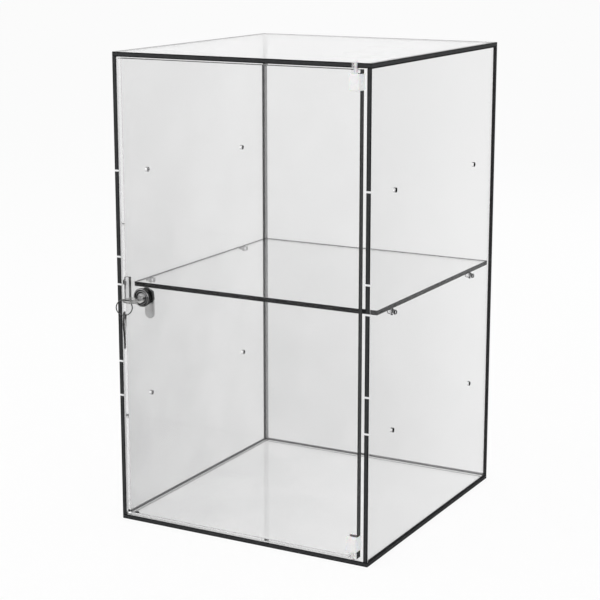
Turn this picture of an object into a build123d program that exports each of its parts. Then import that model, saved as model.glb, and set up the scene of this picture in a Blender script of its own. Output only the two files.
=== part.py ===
"""A clear acrylic display case with one shelf and a hinged, locking front door.

Millimetres, +Z up. The origin is the middle of the base's underside, and the
door is on the -Y side. At rest the door is shut, the lock is open with its cam
pointing down, and the key is in it with a ring and a spare key hanging.
"""

import os
from math import cos, radians, sin, sqrt

from build123d import *

# Case
CASE_WIDTH = 300.0
CASE_DEPTH = 315.0
CASE_HEIGHT = 510.0
SHEET = 5.0  # acrylic sheet of the panels, the shelf and the catch
ARRIS = 0.3  # polished bevel along each panel's edges

# Door
DOOR_SHEET = 8.0
DOOR_END_GAP = 1.5  # above and below the door
LOCK_SIDE_GAP = 2.0  # from the free edge to the left panel
HINGE_SIDE_GAP = 7.0  # from the hinged edge to the right panel

# Hinge clips and their pins
PIVOT_INSET = 6.5  # from the door's hinged edge to the pins' axis
PIN_RADIUS = 2.5
PIN_RUN = 0.05  # radial clearance in the panels
PIN_PRESS = 0.02  # radial clearance in the clips
PIN_SOCKET = 10.0  # how far a pin goes into its clip
PIN_PROUD = 1.0  # upper pin above the top panel
PIN_BEVEL = 0.4
PIN_FOOT = 3.0  # depth of the lower pin's socket in the base
PIN_FOOT_GAP = 0.3
CLIP_WIDTH = 11.5
CLIP_HEIGHT = 16.5
CLIP_PLATE = 3.0  # over the door's front and back faces
CLIP_CHEEK = 1.0  # round the door's hinged edge
CLIP_WALL = 0.9  # core beside the pin
CLIP_FLOOR = 2.0  # core below the pin
CLIP_ROUND = 1.2
UPPER_CLIP_DROP = 4.0  # from the door's top edge
LOWER_CLIP_RISE = 7.0  # from the door's bottom edge
SLOT_FIT = 0.1  # between a clip and the cuts in the door

# Shelf and its pegs
PEG_RADIUS = 2.5
PEG_FIT = 0.05  # radial clearance in the panels' holes
PEG_COLLAR_RADIUS = 3.5
PEG_COLLAR = 1.0
PEG_REACH = 5.5  # inside the case
PEG_PROUD = 2.0  # outside the case
PEG_DOME = 1.2
PEG_FRONT = 57.5  # first column of holes, from the front
PEG_COLUMN_PITCH = 200.0
PEG_LOW_ROW = 130.0  # lowest row of holes, from the underside
PEG_ROW_PITCH = 125.0
PEG_ROWS = 3
SHELF_ROW = 1  # the row in use, counted from 0
SHELF_SET_BACK = 25.0
SHELF_GAP = 0.2  # over the pegs and beside their collars
SHELF_BACK_GAP = 1.0

# Catch and door stop, on the left
CATCH_HEIGHT = 26.5
CATCH_DROP = 8.5  # below the lock's axis
CATCH_GAP = 0.5  # behind the door
STOP_RADIUS = 2.75
STOP_HEIGHT = 2.5
STOP_INSET = 7.5  # from the left panel
STOP_GAP = 0.3

# Lock
LOCK_HEIGHT = 252.5  # axis above the underside
LOCK_INSET = 25.0  # axis from the door's free edge
HEAD_RADIUS = 10.0
HEAD_HEIGHT = 3.0
HEAD_BEVEL = 0.8
HEAD_GROOVE_RADIUS = 7.4
HEAD_GROOVE_WIDTH = 0.7
HEAD_GROOVE_DEPTH = 0.5
BARREL_RADIUS = 6.0
BARREL_FIT = 0.15  # in the door's hole
PLUG_RADIUS = 4.5
PLUG_RUN = 0.04
PLUG_FLANGE_RADIUS = 5.4
PLUG_FLANGE = 1.2
PLUG_SINK = 0.6  # plug's face below the head's
WASHER_RADIUS = 9.0
WASHER_HEIGHT = 0.6
NUT_ACROSS_FLATS = 17.0
NUT_HEIGHT = 3.0
NUT_TURN = 24.0
NUT_BEVEL = 0.8
THREAD_FIT = 0.03
CAM_THICKNESS = 2.0
CAM_WIDTH = 11.0
CAM_CLEAR = 0.6  # behind the catch
CAM_TIP_GAP = 1.5  # from the left panel when locked
CAM_RUN = 0.2  # from the barrel's end
DRIVE_SIDE = 6.0
DRIVE_FIT = 0.05
SCREW_RADIUS = 2.0
SCREW_LENGTH = 4.5
SCREW_HEAD_RADIUS = 3.6
SCREW_HEAD_HEIGHT = 2.0
SCREW_SLOT = 0.9

# Keys and ring
KEY_THICKNESS = 2.0
BOW_RADIUS = 11.0
BOW_STANDOFF = 4.0  # from the lock's face to the bow
BOW_SLOT_LENGTH = 13.0
BOW_SLOT_WIDTH = 5.5
BOW_RIM = 3.25  # past the slot
BOW_ROUND = 0.4
NECK_WIDTH = 9.0
BLADE_WIDTH = 6.4
BLADE_THICKNESS = 1.7
BLADE_LENGTH = 13.2  # inside the plug
KEY_FIT = 0.1
BIT_PITCH = 2.4
BIT_DEPTHS = (0.9, 1.5, 0.7, 1.2)
RING_RADIUS = 8.4
RING_WIRE = 0.6
RING_TURN = 28.6  # of the ring's plane about Z, from facing the front
RING_LEAN = 52.0  # how far round the ring the key's slot sits
RING_SLOT_SHIFT = 1.6  # of the wire in the slot, towards the free edge
RING_PLAY = 0.15

# Places worked out from the sizes
FRONT = -CASE_DEPTH / 2
BACK_INSIDE = CASE_DEPTH / 2 - SHEET
INSIDE_X = CASE_WIDTH / 2 - SHEET
CEILING = CASE_HEIGHT - SHEET
DOOR_LEFT = -INSIDE_X + LOCK_SIDE_GAP
DOOR_RIGHT = INSIDE_X - HINGE_SIDE_GAP
DOOR_BOTTOM = SHEET + DOOR_END_GAP
DOOR_TOP = CEILING - DOOR_END_GAP
DOOR_BACK = FRONT + DOOR_SHEET
PIVOT_X = DOOR_RIGHT - PIVOT_INSET
PIVOT_Y = FRONT + DOOR_SHEET / 2
UPPER_CLIP_Z = DOOR_TOP - UPPER_CLIP_DROP
LOWER_CLIP_Z = DOOR_BOTTOM + LOWER_CLIP_RISE
SOCKET_RADIUS = PIN_RADIUS + PIN_PRESS
CORE_WIDTH = 2 * (SOCKET_RADIUS + CLIP_WALL)
CORE_HEIGHT = PIN_SOCKET + CLIP_FLOOR
PEG_COLUMNS = [FRONT + PEG_FRONT + column * PEG_COLUMN_PITCH for column in range(2)]
PEG_HEIGHTS = [PEG_LOW_ROW + row * PEG_ROW_PITCH for row in range(PEG_ROWS)]
SHELF_UNDERSIDE = PEG_HEIGHTS[SHELF_ROW] + PEG_RADIUS + SHELF_GAP
LOCK_X = DOOR_LEFT + LOCK_INSET

# Along the lock's axis, counted back from the door's front face
CATCH_FRONT = DOOR_SHEET + CATCH_GAP
CAM_FRONT = CATCH_FRONT + SHEET + CAM_CLEAR
CAM_BACK = CAM_FRONT + CAM_THICKNESS
BARREL_END = CAM_FRONT - CAM_RUN
PLUG_FACE = PLUG_SINK - HEAD_HEIGHT
FLANGE_BACK = PLUG_FACE + PLUG_FLANGE
BLADE_TIP = PLUG_FACE + BLADE_LENGTH
BOW_BACK = -HEAD_HEIGHT - BOW_STANDOFF
BOW_CENTRE = BOW_BACK - BOW_RADIUS
SLOT_CENTRE = BOW_CENTRE - BOW_RADIUS + BOW_RIM + BOW_SLOT_WIDTH / 2


def block(low, high):
    """A box between two opposite corners."""
    size = [b - a for a, b in zip(low, high)]
    return Pos(*[(a + b) / 2 for a, b in zip(low, high)]) * Box(*size)


def panel(low, high):
    """A sheet with a polished bevel along every edge."""
    return chamfer(block(low, high).edges(), ARRIS)


def rod(radius, start, end, along=Axis.Y):
    """A cylinder between two distances along an axis through the origin."""
    way = Plane(origin=(0, 0, 0), z_dir=along.direction)
    middle = Pos(0, 0, (start + end) / 2)
    return way.location * middle * Cylinder(radius, end - start)


def turned(outline):
    """A solid turned about the Y axis from (radius, distance along Y) points."""
    return revolve(make_face(Polyline(*outline, close=True)), Axis.Y, 360)


def at_lock(solid):
    """Moves a solid modelled about the lock's axis to its place in the door."""
    return Pos(LOCK_X, FRONT, LOCK_HEIGHT) * solid


def case_panels():
    """The five glued panels, with the pegs' holes and the pins' sockets."""
    half_width, half_depth = CASE_WIDTH / 2, CASE_DEPTH / 2
    pin_hole = Pos(PIVOT_X, PIVOT_Y, 0) * rod(
        PIN_RADIUS + PIN_RUN, SHEET - PIN_FOOT, CASE_HEIGHT + PIN_PROUD, Axis.Z
    )
    base = panel((-half_width, FRONT, 0), (half_width, half_depth, SHEET))
    top = panel((-half_width, FRONT, CEILING), (half_width, half_depth, CASE_HEIGHT))
    back = panel((-half_width, BACK_INSIDE, SHEET), (half_width, half_depth, CEILING))
    side = panel((INSIDE_X, FRONT, SHEET), (half_width, BACK_INSIDE, CEILING))
    for y in PEG_COLUMNS:
        for z in PEG_HEIGHTS:
            hole = rod(PEG_RADIUS + PEG_FIT, INSIDE_X - 1, half_width + 1, Axis.X)
            side -= Pos(0, y, z) * hole
    return {
        "bottom_panel": base - pin_hole,
        "top_panel": top - pin_hole,
        "back_panel": back,
        "right_side_panel": side,
        "left_side_panel": mirror(side, Plane.YZ),
    }


def shelf_peg():
    """A peg along X: its collar's outer face is at 0 and its domed end at +X."""
    outer = SHEET + PEG_PROUD
    shank = rod(PEG_RADIUS, -PEG_REACH, outer, Axis.X)
    shank = fillet(shank.edges().group_by(Axis.X)[-1], PEG_DOME)
    shank = chamfer(shank.edges().group_by(Axis.X)[0], PEG_DOME / 2)
    return shank + rod(PEG_COLLAR_RADIUS, -PEG_COLLAR, 0, Axis.X)


def shelf_parts():
    """The loose shelf, and the four pegs in the row of holes that carries it."""
    side = INSIDE_X - PEG_COLLAR - SHELF_GAP
    nodes = {
        "shelf": panel(
            (-side, FRONT + SHELF_SET_BACK, SHELF_UNDERSIDE),
            (side, BACK_INSIDE - SHELF_BACK_GAP, SHELF_UNDERSIDE + SHEET),
        )
    }
    for y, depth_name in zip(PEG_COLUMNS, ("front", "rear")):
        peg = Pos(INSIDE_X, y, PEG_HEIGHTS[SHELF_ROW]) * shelf_peg()
        nodes[f"right_{depth_name}_peg"] = peg
        nodes[f"left_{depth_name}_peg"] = mirror(peg, Plane.YZ)
    return nodes


def hinge_clip():
    """A clip about its pin's axis, with the end that faces the panel at z = 0.

    Two plates grip the door, a cheek closes its edge, and a core that fills the
    door's slot holds the pin.
    """
    left, right = PIVOT_INSET - CLIP_WIDTH, PIVOT_INSET
    half = DOOR_SHEET / 2
    thick = half + CLIP_PLATE
    body = block((left, -thick, -CLIP_HEIGHT), (right, thick, 0))
    body = fillet(body.edges(), CLIP_ROUND)
    body -= block((left - 1, -half, -CLIP_HEIGHT - 1), (right - CLIP_CHEEK, half, 1))
    body += block((-CORE_WIDTH / 2, -half, -CORE_HEIGHT), (CORE_WIDTH / 2, half, 0))
    return body - rod(SOCKET_RADIUS, -PIN_SOCKET, 1, Axis.Z)


def clip_cuts():
    """What a clip takes out of the door: a slot for its core, a step for its cheek."""
    half = CORE_WIDTH / 2 + SLOT_FIT
    reach = max(UPPER_CLIP_DROP, LOWER_CLIP_RISE) + 1
    deep = CORE_HEIGHT + SLOT_FIT
    slot = block((-half, -DOOR_SHEET, -deep), (half, DOOR_SHEET, reach))
    step_left = PIVOT_INSET - CLIP_CHEEK
    step = block(
        (step_left, -DOOR_SHEET, -CLIP_HEIGHT - SLOT_FIT),
        (PIVOT_INSET + 1, DOOR_SHEET, SLOT_FIT),
    )
    return slot + step


def door_parts():
    """The door with its two hinge clips and their pins."""
    upper = Pos(PIVOT_X, PIVOT_Y, UPPER_CLIP_Z)
    lower = Pos(PIVOT_X, PIVOT_Y, LOWER_CLIP_Z)
    clip, cuts = hinge_clip(), clip_cuts()
    door = panel((DOOR_LEFT, FRONT, DOOR_BOTTOM), (DOOR_RIGHT, DOOR_BACK, DOOR_TOP))
    door -= upper * cuts
    door -= lower * mirror(cuts, Plane.XY)
    door -= at_lock(rod(BARREL_RADIUS + BARREL_FIT, -1, DOOR_SHEET + 1))

    upper_pin = rod(
        PIN_RADIUS, UPPER_CLIP_Z - PIN_SOCKET, CASE_HEIGHT + PIN_PROUD, Axis.Z
    )
    foot = SHEET - PIN_FOOT + PIN_FOOT_GAP
    lower_pin = rod(PIN_RADIUS, foot, LOWER_CLIP_Z + PIN_SOCKET, Axis.Z)
    upper_end = upper_pin.edges().group_by(Axis.Z)[-1]
    lower_end = lower_pin.edges().group_by(Axis.Z)[0]
    on_pivot = Pos(PIVOT_X, PIVOT_Y, 0)
    return {
        "door_panel": door,
        "upper_hinge_clip": upper * clip,
        "lower_hinge_clip": lower * mirror(clip, Plane.XY),
        "upper_hinge_pin": on_pivot * chamfer(upper_end, PIN_BEVEL),
        "lower_hinge_pin": on_pivot * chamfer(lower_end, PIN_BEVEL),
    }


def catch_parts():
    """The block that the cam turns behind, and the clear stop on the base."""
    left = -INSIDE_X
    low = LOCK_HEIGHT - CATCH_DROP
    catch = panel(
        (left, FRONT + CATCH_FRONT, low),
        (left + SHEET, FRONT + CATCH_FRONT + SHEET, low + CATCH_HEIGHT),
    )
    ball_radius = (STOP_RADIUS**2 + STOP_HEIGHT**2) / (2 * STOP_HEIGHT)
    dome = Pos(0, 0, STOP_HEIGHT - ball_radius) * Sphere(ball_radius)
    dome &= block((-ball_radius, -ball_radius, 0), (ball_radius, ball_radius, STOP_HEIGHT))
    stop_y = DOOR_BACK + STOP_GAP + STOP_RADIUS
    return {
        "catch_block": catch,
        "door_stop": Pos(left + STOP_INSET, stop_y, SHEET) * dome,
    }


def lock_housing():
    """Head and barrel in one piece, bored for the plug."""
    bore = PLUG_RADIUS + PLUG_RUN
    seat = PLUG_FLANGE_RADIUS + PLUG_RUN
    floor = FLANGE_BACK + PLUG_RUN
    groove = HEAD_GROOVE_RADIUS - HEAD_GROOVE_WIDTH
    groove_floor = HEAD_GROOVE_DEPTH - HEAD_HEIGHT
    return turned(
        [
            (bore, BARREL_END),
            (bore, floor),
            (seat, floor),
            (seat, -HEAD_HEIGHT),
            (groove, -HEAD_HEIGHT),
            (groove, groove_floor),
            (HEAD_GROOVE_RADIUS, groove_floor),
            (HEAD_GROOVE_RADIUS, -HEAD_HEIGHT),
            (HEAD_RADIUS - HEAD_BEVEL, -HEAD_HEIGHT),
            (HEAD_RADIUS, HEAD_BEVEL - HEAD_HEIGHT),
            (HEAD_RADIUS, 0),
            (BARREL_RADIUS, 0),
            (BARREL_RADIUS, BARREL_END),
        ]
    )


def lock_plug():
    """The turning plug: flanged face, keyway, square drive and tapped end."""
    drive_end = CAM_BACK - DRIVE_FIT
    plug = rod(PLUG_FLANGE_RADIUS, PLUG_FACE, FLANGE_BACK)
    plug += rod(PLUG_RADIUS, PLUG_FACE, CAM_FRONT)
    half = DRIVE_SIDE / 2
    plug += block((-half, CAM_FRONT, -half), (half, drive_end, half))
    wide, thick = BLADE_WIDTH / 2 + KEY_FIT, BLADE_THICKNESS / 2 + KEY_FIT
    plug -= block((-wide, PLUG_FACE - 1, -thick), (wide, BLADE_TIP + KEY_FIT, thick))
    tapped = CAM_BACK - SCREW_LENGTH - KEY_FIT
    return plug - rod(SCREW_RADIUS, tapped, drive_end + 1)


def lock_cam():
    """The cam plate, pointing down from its square hole."""
    reach = LOCK_INSET + LOCK_SIDE_GAP - CAM_TIP_GAP
    half = CAM_WIDTH / 2
    arm = block((-half, CAM_FRONT, half - reach), (half, CAM_BACK, 0))
    ends = rod(half, CAM_FRONT, CAM_BACK)
    cam = arm + ends + Pos(0, 0, half - reach) * ends
    hole = DRIVE_SIDE / 2 + DRIVE_FIT
    return cam - block((-hole, CAM_FRONT - 1, -hole), (hole, CAM_BACK + 1, hole))


def cam_screw():
    """The slotted screw that holds the cam on the plug's drive."""
    head_end = CAM_BACK + SCREW_HEAD_HEIGHT
    head = rod(SCREW_HEAD_RADIUS, CAM_BACK, head_end)
    head = chamfer(head.edges().group_by(Axis.Y)[-1], SCREW_SLOT / 2)
    wide, deep = SCREW_SLOT / 2, head_end - SCREW_HEAD_HEIGHT / 2
    head -= block(
        (-SCREW_HEAD_RADIUS, deep, -wide), (SCREW_HEAD_RADIUS, head_end + 1, wide)
    )
    shank = rod(SCREW_RADIUS - THREAD_FIT, CAM_BACK - SCREW_LENGTH, CAM_BACK)
    return head + shank


def lock_nut():
    """The six-sided nut behind the door, with its outer corners turned off."""
    inner = NUT_ACROSS_FLATS / 2
    corner = inner / cos(radians(30))
    start = DOOR_SHEET + WASHER_HEIGHT
    end = start + NUT_HEIGHT
    outline = Rot(-90, 0, 0) * extrude(
        RegularPolygon(corner, 6, rotation=NUT_TURN), NUT_HEIGHT
    )
    cone = turned(
        [
            (BARREL_RADIUS + THREAD_FIT, start),
            (corner, start),
            (corner, end - NUT_BEVEL / 2),
            (corner - NUT_BEVEL, end),
            (BARREL_RADIUS + THREAD_FIT, end),
        ]
    )
    return Pos(0, start, 0) * outline & cone


def lock_washer():
    """The flat washer between the door and the nut."""
    back = DOOR_SHEET + WASHER_HEIGHT
    disc = rod(WASHER_RADIUS, DOOR_SHEET, back)
    return disc - rod(BARREL_RADIUS + BARREL_FIT, DOOR_SHEET - 1, back + 1)


def key_blank():
    """A key along Y, flat in the XY plane, with its bow towards -Y."""
    half = KEY_THICKNESS / 2
    flat = Pos(0, 0, -half)
    shoulder = -HEAD_HEIGHT - KEY_FIT
    bow = flat * extrude(Pos(0, BOW_CENTRE) * Circle(BOW_RADIUS), KEY_THICKNESS)
    bow = fillet(bow.edges(), BOW_ROUND)
    bow -= flat * extrude(
        Pos(0, SLOT_CENTRE) * SlotOverall(BOW_SLOT_LENGTH, BOW_SLOT_WIDTH),
        KEY_THICKNESS,
    )
    neck_start = BOW_CENTRE + sqrt(BOW_RADIUS**2 - (NECK_WIDTH / 2) ** 2) - BOW_ROUND * 2
    neck = block((-NECK_WIDTH / 2, neck_start, -half), (NECK_WIDTH / 2, shoulder, half))

    wide, thick = BLADE_WIDTH / 2, BLADE_THICKNESS / 2
    blade = block((-wide, shoulder, -thick), (wide, BLADE_TIP, thick))
    blade = chamfer(blade.edges().filter_by(Axis.Z).group_by(Axis.Y)[-1], wide / 2)
    for place, depth in enumerate(BIT_DEPTHS):
        y = PLUG_FACE + BIT_PITCH * (place + 1)
        notch = make_face(
            Polyline(
                (wide - depth, y - BIT_PITCH / 8),
                (wide - depth, y + BIT_PITCH / 8),
                (wide + 1, y + BIT_PITCH / 8 + depth + 1),
                (wide + 1, y - BIT_PITCH / 8 - depth - 1),
                close=True,
            )
        )
        blade -= Pos(0, 0, -half) * extrude(notch, KEY_THICKNESS)
    return bow + neck + blade


def key_parts():
    """The key in the lock, the ring through its bow and the spare on the ring."""
    key = key_blank()
    along = Vector(cos(radians(RING_TURN)), sin(radians(RING_TURN)), 0)
    across = Vector(-along.Y, along.X, 0)
    lean = radians(RING_LEAN)
    in_slot = Vector(-RING_SLOT_SHIFT, SLOT_CENTRE, 0)
    centre = in_slot - along * (RING_RADIUS * cos(lean)) - Vector(0, 0, 1) * (
        RING_RADIUS * sin(lean)
    )
    ring = Plane(origin=centre, z_dir=across).location * Torus(RING_RADIUS, RING_WIRE)

    hung_at = SLOT_CENTRE - BOW_SLOT_WIDTH / 2 + RING_WIRE + RING_PLAY
    bottom = centre - Vector(0, 0, RING_RADIUS)
    hanging = Plane(origin=bottom, x_dir=-across, z_dir=along)
    spare = hanging.location * Pos(0, -hung_at, 0) * key_blank()
    return {"key": key, "key_ring": ring, "spare_key": spare}


def lock_parts():
    """The lock, its fastenings and its keys, in their places in the door."""
    about_axis = {
        "lock_housing": lock_housing(),
        "lock_plug": lock_plug(),
        "lock_cam": lock_cam(),
        "cam_screw": cam_screw(),
        "lock_nut": lock_nut(),
        "lock_washer": lock_washer(),
        **key_parts(),
    }
    return {name: at_lock(solid) for name, solid in about_axis.items()}


os.makedirs("parts", exist_ok=True)
for make in (case_panels, shelf_parts, door_parts, catch_parts, lock_parts):
    for name, solid in make().items():
        export_step(solid, f"parts/{name}.step")
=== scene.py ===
"""Looks of the acrylic display case: clear sheet, moulded plastic, lock metal, studio and camera.

Metres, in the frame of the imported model: +Z up, the door on the -Y side.
"""

import math

import bpy
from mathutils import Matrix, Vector


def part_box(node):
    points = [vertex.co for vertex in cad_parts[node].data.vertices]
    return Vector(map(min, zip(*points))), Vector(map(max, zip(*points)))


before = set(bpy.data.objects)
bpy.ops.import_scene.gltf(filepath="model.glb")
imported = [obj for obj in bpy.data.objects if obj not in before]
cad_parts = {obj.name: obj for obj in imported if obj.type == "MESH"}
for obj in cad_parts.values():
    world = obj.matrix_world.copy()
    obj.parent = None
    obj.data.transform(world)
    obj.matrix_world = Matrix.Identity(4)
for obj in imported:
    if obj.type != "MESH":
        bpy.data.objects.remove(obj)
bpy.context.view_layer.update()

MM = 0.001

# Camera, set from the photograph's corners of the case
PICTURE = 600  # pixels on a side
FOCAL_PIXELS = 1669.0
CENTRE_ROW = 283.0  # the row of pixels, from the top, that the camera's axis meets
CAMERA_PLACE = (0.8551, -1.5897, 0.6466)
CAMERA_TURN = 28.67  # degrees, from looking along +Y towards -X
CAMERA_TILT = 12.39  # degrees below the horizon
SENSOR_WIDTH = 36.0  # mm

BOUNCES = 24  # enough for the light that passes through all the panels

# Acrylic
ACRYLIC_IOR = 1.49  # of the small clear pieces
SHEET_IOR = 1.22  # of the panels, whose reflections are faint
CLEAR = (0.987, 0.987, 0.987)  # what a panel's faces let through
PAINTED_GREY = (0.42, 0.42, 0.425)  # painted grey of shade and reflection over them
PASSED_LIGHT = (0.92, 0.92, 0.92)  # what clear plastic lets through of the lamps' light
# Painted highlight: the bright arrises of faces, the glints on edges and the top panel's white
PAINTED_HIGHLIGHT = (0.93, 0.93, 0.94)
# Painted shade beside glued joints
SEAM_SHADE = (0.06, 0.06, 0.062)
# Painted shade in place of the dark that polished edges show, at an edge's core and its rims
EDGE_CORE_SHADE = (0.034, 0.035, 0.036)
EDGE_RIM_SHADE = (0.006, 0.006, 0.0065)
EDGE_INSIDE_SHADE = (0.055, 0.055, 0.057)  # painted shade of an edge seen from within the sheet
SEAM_REACH = 1.3 * MM  # of the painted shade beside a glued joint, over the face
HALF_SHEET = 2.5 * MM

# Soft borders, as the distances at which a look is absent and complete
PAINTED_GLINT_BORDER = (1.3 * MM, 0.7 * MM)  # from a painted glint's middle
ARRIS_HIGHLIGHT_BORDER = (1.5 * MM, 1.0 * MM)  # from the edge of a face, of a painted arris highlight
HOLE = (0.5 * MM, 0.8 * MM)  # from the sheet's outline
WINDOW = (3.2 * MM, 2.8 * MM)  # from a window's middle

# Lock
PAINTED_RINGS = ((4.9, 6.6), (7.2, 8.6), (9.3, 10.2))  # dark rings painted on the lock's head as reflection and shade: inner and outer radii, in mm
PAINTED_RING_SHADE = (0.015, 0.015, 0.015)

# Studio
WHITE = (1, 1, 1)
SURROUNDINGS_LIGHT = (0.7, 0.7, 0.7)
# The greys that reflections show: level and straight up, and, between those, bands that are
# each the height of a direction (0 is level, 1 is up) and a grey
REFLECTED_ENDS = (0.97, 1.0)
REFLECTED_BANDS = ((0.16, 0.95), (0.24, 0.15), (0.36, 0.2), (0.44, 0.95), (0.6, 0.9), (0.7, 0.25))
REFLECTED_FLOOR = (0.1, 0.1, 0.1)
FLOOR_REACH = 12.0
FLOOR_DROP = 0.1 * MM
LAMP_TARGET = Vector((0, 0, 0.25))
LAMPS = (  # name, place, width and watts
    ("key", (-1.4, -1.2, 1.7), 1.4, 15.0),
    ("fill", (1.8, -1.0, 1.2), 1.2, 7.0),
    ("back", (0.3, 1.9, 1.3), 1.4, 6.0),
)


class Nodes:
    """The nodes of one material or world. Most methods add nodes and return an output."""

    def __init__(self, owner):
        self.owner = owner
        self.owner.use_nodes = True
        self.tree = self.owner.node_tree
        self.tree.nodes.clear()
        self.place = self.add("TexCoord")

    def add(self, kind, inputs=None, **settings):
        """Returns the node itself."""
        node = self.tree.nodes.new("ShaderNode" + kind)
        for key, value in settings.items():
            setattr(node, key, value)
        for socket, value in (inputs or {}).items():
            self.put(value, node.inputs[socket])
        return node

    def put(self, value, socket):
        """Links an output to a socket, or sets the socket to a constant."""
        if isinstance(value, bpy.types.NodeSocket):
            self.tree.links.new(value, socket)
        elif socket.type == "RGBA":
            socket.default_value = (*value, 1)
        else:
            socket.default_value = value

    def math(self, operation, *values, clamp=False):
        node = self.add("Math", dict(enumerate(values)), operation=operation)
        node.use_clamp = clamp
        return node.outputs[0]

    def distance(self, value, place):
        return self.math("ABSOLUTE", self.math("SUBTRACT", value, place))

    def axes(self, output):
        """The X, Y and Z of a coordinate output, such as Object or Normal."""
        return self.add("SeparateXYZ", {0: self.place.outputs[output]}).outputs

    def step(self, value, start, end, low=0.0, high=1.0):
        """Goes smoothly from low at start to high at end."""
        inputs = {"Value": value, "From Min": start, "From Max": end, "To Min": low, "To Max": high}
        return self.add("MapRange", inputs, interpolation_type="SMOOTHSTEP").outputs[0]

    def colour(self, factor, low, high):
        node = self.add("Mix", data_type="RGBA")
        for socket, value in zip((0, 6, 7), (factor, low, high)):
            self.put(value, node.inputs[socket])
        return node.outputs[2]

    def noise(self, scale, stretch=(1, 1, 1), detail=3.0, roughness=0.55):
        """Noise from 0 to 1 about 0.5; scale is in cycles per metre."""
        at = self.add("Mapping", {0: self.place.outputs["Object"], "Scale": stretch}).outputs[0]
        inputs = {"Vector": at, "Scale": scale, "Detail": detail, "Roughness": roughness}
        return self.add("TexNoise", inputs).outputs[0]

    def bump(self, height, strength, distance):
        inputs = {"Strength": strength, "Distance": distance, "Height": height}
        return self.add("Bump", inputs).outputs[0]

    def shader(self, kind, inputs):
        return self.add(kind, inputs).outputs[0]

    def mix(self, factor, below, above):
        return self.shader("MixShader", {0: factor, 1: below, 2: above})

    def seen(self, path):
        """1 to the camera, straight or through a sheet, and 0 to other rays."""
        return self.math("ADD", path["Is Camera Ray"], path["Is Transmission Ray"], clamp=True)

    def done(self, shader, output="OutputMaterial"):
        self.add(output, {"Surface": shader})
        return self.owner


def material_nodes(name):
    return Nodes(bpy.data.materials.new(name))


def centre(node, axis):
    """The middle of a CAD node along one axis."""
    low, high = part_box(node)
    return (low[axis] + high[axis]) / 2


def dress(node, material):
    """Gives a CAD node one material."""
    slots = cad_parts[node].material_slots
    for slot in slots:
        slot.material = material
    if not slots:
        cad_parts[node].data.materials.append(material)


def lets_lamps_through(n, shader, share):
    """Stands in for the light that clear plastic passes on to what is behind it."""
    shadow = n.math("MULTIPLY", n.add("LightPath").outputs["Is Shadow Ray"], share)
    return n.mix(shadow, shader, n.shader("BsdfTransparent", {"Color": PASSED_LIGHT}))


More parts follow.
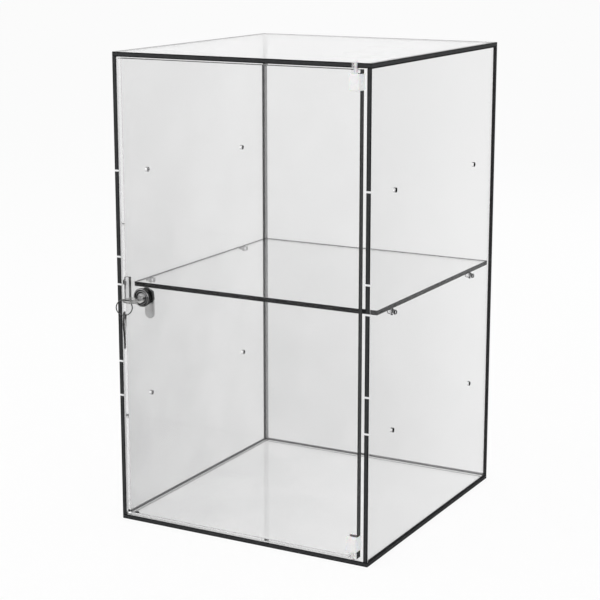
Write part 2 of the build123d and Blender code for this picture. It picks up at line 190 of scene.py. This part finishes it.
def panel(
    node, painted_low, painted_high, lean=0.0, painted_tone=PAINTED_GREY, tint=CLEAR, lit_far_tint=None, edge_tone=1.0,
    painted_glints=(), windows=(), mirrors=False, seams=(), shaded=1.0, reach=SEAM_REACH
):
    """Dresses a panel as clear sheet: bent light through its faces, painted grey, shade and highlights
    over them, and polished edges painted dark as shade.

    The sheet's two long axes are called first and second, in the order X, Y, Z.

    painted_low, painted_high: how much painted shade and reflection covers the faces, at the two ends
    of second
    lean: how much stronger the painted grey is at the low end of first, and weaker at its high end
    painted_tone: the colour of that painted cover, a grey shade or a white painted highlight
    tint, lit_far_tint: what the faces let through, at the two ends of first; a lighter far end is
    painted light
    edge_tone: how light the edges' painted shade is at their cores, against EDGE_CORE_SHADE
    painted_glints: heights at which glints are painted on the edges
    windows: places along X where the edges and hole walls are clear
    mirrors: the edges are clear from within, and the faces have no painted arris highlight
    seams: the glued joints beside which shade is painted on a face, each as an axis and a place on it
    shaded: the face that gets their painted shade, 1 or -1 along the sheet's thickness
    reach: how far to each side the painted shade goes
    """
    n = material_nodes(node)
    low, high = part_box(node)
    size = [b - a for a, b in zip(low, high)]
    thin = size.index(min(size))
    first, second = wide = [axis for axis in range(3) if axis != thin]
    place, normal = n.axes("Object"), n.axes("Normal")

    def off_centre(axis):
        return n.distance(place[axis], centre(node, axis))

    flat = n.step(n.math("ABSOLUTE", normal[thin]), 0.8, 0.95)
    depth = n.math("DIVIDE", off_centre(thin), size[thin] / 2)
    border = n.math("MINIMUM", *[n.math("SUBTRACT", size[a] / 2, off_centre(a)) for a in wide])

    # Edges: painted shade, a dark core with fine polishing streaks, between darker painted rims
    streaks = n.noise(900, detail=2)
    body = [v * edge_tone for v in EDGE_CORE_SHADE]
    core = n.colour(n.step(streaks, 0.35, 0.75), body, [v * 1.5 for v in body])
    painted_edge_colour = n.colour(n.step(depth, 0.45, 0.8), core, EDGE_RIM_SHADE)
    for height in painted_glints:
        painted_glint = n.math("MULTIPLY", n.step(n.distance(place[2], height), *PAINTED_GLINT_BORDER), 0.9)
        painted_edge_colour = n.colour(painted_glint, painted_edge_colour, PAINTED_HIGHLIGHT)
    behind = n.add("NewGeometry").outputs["Backfacing"]
    edge = n.shader("BsdfPrincipled", {
        "Base Color": n.colour(behind, painted_edge_colour, EDGE_INSIDE_SHADE),
        "Roughness": n.step(streaks, 0.2, 0.8, 0.15, 0.35),
        "Specular IOR Level": 0.05,
    })

    # Faces: glass with a faint painted grey of shade and reflection, hardly seen specks, a painted
    # arris highlight and painted shade beside the seams
    along = place[first], low[first], high[first]
    if lit_far_tint:
        tint = n.colour(n.step(*along), tint, lit_far_tint)
    glass = n.shader("BsdfGlass", {"Color": tint, "Roughness": 0.0, "IOR": SHEET_IOR})
    painted_share = n.step(place[second], low[second], high[second], painted_low, painted_high)
    painted_share = n.math("MULTIPLY", painted_share, n.step(*along, 1 + lean, 1 - lean))
    clouds = n.step(n.noise(9, detail=2), 0.25, 0.75, 0.85, 1.15)
    specks = n.step(n.noise(1500, detail=1), 0.74, 0.8, 0.0, 0.15)
    arris_highlight = n.step(border if thin == 1 else n.math("SUBTRACT", place[1], low[1]), *ARRIS_HIGHLIGHT_BORDER)
    cover = n.math("MULTIPLY_ADD", painted_share, clouds, specks)
    cover = n.math("MAXIMUM", cover, n.math("MULTIPLY", arris_highlight, 0.0 if mirrors else 0.6))
    cover_colour = n.colour(arris_highlight, painted_tone, PAINTED_HIGHLIGHT)
    facing = n.step(n.math("MULTIPLY", normal[thin], shaded), 0.5, 0.9, 0.0, 0.75)
    for axis, at in seams:
        seam_shade = n.math("MULTIPLY", n.step(n.distance(place[axis], at), reach, 0.85 * reach), facing)
        cover = n.math("MAXIMUM", cover, seam_shade)
        cover_colour = n.colour(seam_shade, cover_colour, SEAM_SHADE)
    painted_face = n.shader("BsdfPrincipled", {"Base Color": cover_colour, "Roughness": 0.35})
    face = n.mix(cover, glass, painted_face)

    # Hole walls: clear at their sides, with painted shade above and below
    shade = n.math("MULTIPLY", n.step(n.math("ABSOLUTE", normal[2]), 0.75, 0.9), 0.9)
    around = n.mix(n.step(border, *HOLE), edge, n.mix(shade, glass, edge))
    for across in windows:
        around = n.mix(n.step(n.distance(place[0], across), *WINDOW), around, glass)
    if mirrors:
        around = n.mix(behind, around, glass)

    shader = n.mix(flat, around, face)
    dress(node, n.done(lets_lamps_through(n, shader, n.math("MULTIPLY", flat, 0.95))))


def moulded_plastic(name, colour, roughness):
    """Milky moulded plastic with a faint orange-peel surface."""
    n = material_nodes(name)
    mottle = n.noise(260, detail=4)
    return n.done(n.shader("BsdfPrincipled", {
        "Base Color": n.colour(n.step(mottle, 0.3, 0.7), colour, [v * 0.96 for v in colour]),
        "Roughness": n.step(n.noise(700), 0.3, 0.7, roughness * 0.8, roughness * 1.2),
        "Normal": n.bump(n.noise(1400), 0.25, 0.05 * MM),
        "Subsurface Weight": 0.25,
        "Subsurface Scale": 2 * MM,
        "Coat Weight": 0.3,
    }))


def clear_plastic(name, plus_x_shade=0.0):
    """Small clear pieces: bright through the middle, with painted shade where they turn away.

    The shade on +X, from 0 to 1, is how much painted shade the faces towards +X get as well.
    """
    n = material_nodes(name)
    turning = n.add("LayerWeight", {"Blend": 0.35}).outputs["Facing"]
    glass = n.shader("BsdfGlass", {"Color": (0.97, 0.97, 0.975), "Roughness": 0.02, "IOR": ACRYLIC_IOR})
    mottled = n.colour(n.noise(800), (0.02, 0.02, 0.02), (0.06, 0.06, 0.06))
    dark = n.shader("BsdfPrincipled", {"Base Color": mottled, "Roughness": 0.15})
    sideways = n.step(n.axes("Normal")[0], 0.7, 0.95, 0.0, plus_x_shade)
    shade_share = n.math("MAXIMUM", n.step(turning, 0.14, 0.4, 0.0, 0.95), sideways)
    return n.done(lets_lamps_through(n, n.mix(shade_share, glass, dark), 0.8))


def metal(name, colour, roughness, brushed=(1, 1, 1), wear=0.1, painted_rings=()):
    """Plated metal: fine brushing, clouded roughness and faintly duller patches.

    Brushed stretches the brushing along an axis where it is below 1. Painted rings are dark
    rings painted about the lock's axis as reflection and shade, each as its two radii.
    """
    n = material_nodes(name)
    brushing = n.noise(2500, stretch=brushed, detail=3)
    patches = n.step(n.noise(120, detail=4), 0.35, 0.75)
    base = n.colour(patches, colour, [v * (1 - wear) for v in colour])
    if painted_rings:
        place = n.axes("Object")
        legs = [n.math("SUBTRACT", place[axis], centre("lock_housing", axis)) for axis in (0, 2)]
        radius = n.math("SQRT", n.math("ADD", *[n.math("POWER", leg, 2.0) for leg in legs]))
        for inner, outer in painted_rings:
            half = (outer - inner) / 2 * MM
            painted_ring = n.step(n.distance(radius, (inner + outer) / 2 * MM), half, 0.7 * half)
            base = n.colour(painted_ring, base, PAINTED_RING_SHADE)
    return n.done(n.shader("BsdfPrincipled", {
        "Base Color": base,
        "Metallic": 1.0,
        "Roughness": n.math("ADD", n.step(brushing, 0.3, 0.7, roughness * 0.7, roughness * 1.3), 0.02),
        "Normal": n.bump(brushing, 0.2, 0.02 * MM),
    }))


def case_materials():
    # Heights at which glints are painted on the side panels' edges
    painted_glints = [height * MM for height in (385.8, 293.5, 263.5, 179.0, 141.0)]
    # Glued joints: where inner faces meet, and above the panels that the top lies on
    left = (0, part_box("left_side_panel")[1][0])
    back = (1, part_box("back_panel")[0][1])
    base = (2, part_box("bottom_panel")[1][2])
    carriers = (("left_side_panel", 0), ("right_side_panel", 0), ("back_panel", 1))
    under_top = [(axis, centre(node, axis)) for node, axis in carriers]
    pin = centre("upper_hinge_pin", 0)
    # The right panel lets through more light towards its back: a painted light gradient
    tint, lit_far_tint = (0.96, 0.96, 0.96), (0.996, 0.996, 0.996)

    panel("left_side_panel", 0.22, 0.1, lean=0.3, painted_glints=painted_glints, seams=[back, base])
    panel("right_side_panel", 0.003, 0.002, tint=tint, lit_far_tint=lit_far_tint, painted_glints=painted_glints)
    panel("back_panel", 0.14, 0.05, lean=0.5, seams=[left, base], shaded=-1.0)
    panel("bottom_panel", 0.16, 0.12, lean=0.4, seams=[left, back])
    panel("top_panel", 0.15, 0.15, painted_tone=PAINTED_HIGHLIGHT, windows=[pin], seams=under_top, reach=HALF_SHEET)
    panel("door_panel", 0.012, 0.008, tint=(0.972, 0.972, 0.972), mirrors=True)
    panel("shelf", 0.02, 0.02, edge_tone=0.35)

    clear = clear_plastic("clear_plastic")
    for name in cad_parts:
        if name.endswith("_peg") or name == "door_stop":
            dress(name, clear)
    dress("catch_block", clear_plastic("catch_clear", plus_x_shade=0.97))


def fitting_materials():
    along_y = (1, 0.1, 1)
    clip = moulded_plastic("hinge_plastic", (0.93, 0.93, 0.935), 0.3)
    chrome = metal("lock_chrome", (0.75, 0.75, 0.76), 0.1, painted_rings=PAINTED_RINGS)
    dark_steel = metal("dark_steel", (0.1, 0.1, 0.1), 0.2, wear=0.3)
    zinc = metal("zinc_steel", (0.5, 0.5, 0.5), 0.3, wear=0.2)
    nickel = metal("key_nickel", (0.66, 0.66, 0.65), 0.22, brushed=along_y)
    # The spare key: much darker metal than the other key
    dark_key_metal = metal("key_dark", (0.12, 0.12, 0.12), 0.2, brushed=along_y)
    wire = metal("ring_steel", (0.14, 0.14, 0.14), 0.15)
    for material, *names in (
        (clip, "upper_hinge_clip", "upper_hinge_pin", "lower_hinge_clip", "lower_hinge_pin"),
        (chrome, "lock_housing", "lock_plug"),
        (dark_steel, "lock_nut", "lock_washer"),
        (zinc, "lock_cam", "cam_screw"),
        (nickel, "key"),
        (dark_key_metal, "spare_key"),
        (wire, "key_ring"),
    ):
        for name in names:
            dress(name, material)


def floor():
    """Pale floor: nearly white to the camera, with a trace of its shadows, and dark in reflections."""
    n = material_nodes("floor")
    grain = n.colour(n.noise(3), (0.91, 0.91, 0.91), (0.94, 0.94, 0.94))
    lit = n.shader("BsdfDiffuse", {"Color": grain})
    white = n.shader("Emission", {"Color": WHITE, "Strength": 1.0})
    dark = n.shader("Emission", {"Color": REFLECTED_FLOOR, "Strength": 1.0})
    path = n.add("LightPath").outputs
    reflected = n.math("SUBTRACT", path["Is Glossy Ray"], path["Is Transmission Ray"], clamp=True)
    shown = n.mix(n.math("MULTIPLY", n.seen(path), 0.9), lit, white)
    n.done(n.mix(n.math("MULTIPLY", reflected, 0.8), shown, dark))

    far = FLOOR_REACH
    corners = [(x, y, -FLOOR_DROP) for x, y in ((-far, -far), (far, -far), (far, far), (-far, far))]
    mesh = bpy.data.meshes.new("floor")
    mesh.from_pydata(corners, [], [(0, 1, 2, 3)])
    mesh.materials.append(n.owner)
    plane = bpy.data.objects.new("floor", mesh)
    bpy.context.scene.collection.objects.link(plane)


def surroundings():
    """White to the camera, banded in reflections, and an even light otherwise."""
    n = Nodes(bpy.data.worlds.new("studio"))
    ramp = n.add("ValToRGB", {0: n.axes("Generated")[2]})
    bands = ramp.color_ramp.elements
    for end, grey in zip(bands, REFLECTED_ENDS):
        end.color = (grey, grey, grey, 1)
    for height, grey in REFLECTED_BANDS:
        bands.new(height).color = (grey, grey, grey, 1)
    path = n.add("LightPath").outputs
    lit = n.shader("Background", {"Color": SURROUNDINGS_LIGHT})
    banded = n.shader("Background", {"Color": ramp.outputs[0]})
    white = n.shader("Background", {"Color": WHITE})
    unseen = n.mix(path["Is Glossy Ray"], lit, banded)
    bpy.context.scene.world = n.done(n.mix(n.seen(path), unseen, white), "OutputWorld")


def lamps():
    for name, place, width, power in LAMPS:
        lamp = bpy.data.lights.new(name, "AREA")
        lamp.size = width
        lamp.energy = power
        holder = bpy.data.objects.new(name, lamp)
        holder.location = place
        holder.rotation_euler = (LAMP_TARGET - Vector(place)).to_track_quat("-Z", "Y").to_euler()
        bpy.context.scene.collection.objects.link(holder)


def camera():
    data = bpy.data.cameras.new("camera")
    data.sensor_width = SENSOR_WIDTH
    data.lens = FOCAL_PIXELS / PICTURE * SENSOR_WIDTH
    data.shift_y = (CENTRE_ROW - PICTURE / 2) / PICTURE
    holder = bpy.data.objects.new("camera", data)
    holder.location = CAMERA_PLACE
    holder.rotation_euler = (math.radians(90 - CAMERA_TILT), 0, math.radians(CAMERA_TURN))
    bpy.context.scene.collection.objects.link(holder)
    bpy.context.scene.camera = holder


case_materials()
fitting_materials()
floor()
surroundings()
lamps()
camera()

scene = bpy.context.scene
scene.view_settings.view_transform = "Standard"
scene.cycles.max_bounces = BOUNCES
scene.cycles.transmission_bounces = BOUNCES
scene.cycles.transparent_max_bounces = BOUNCES
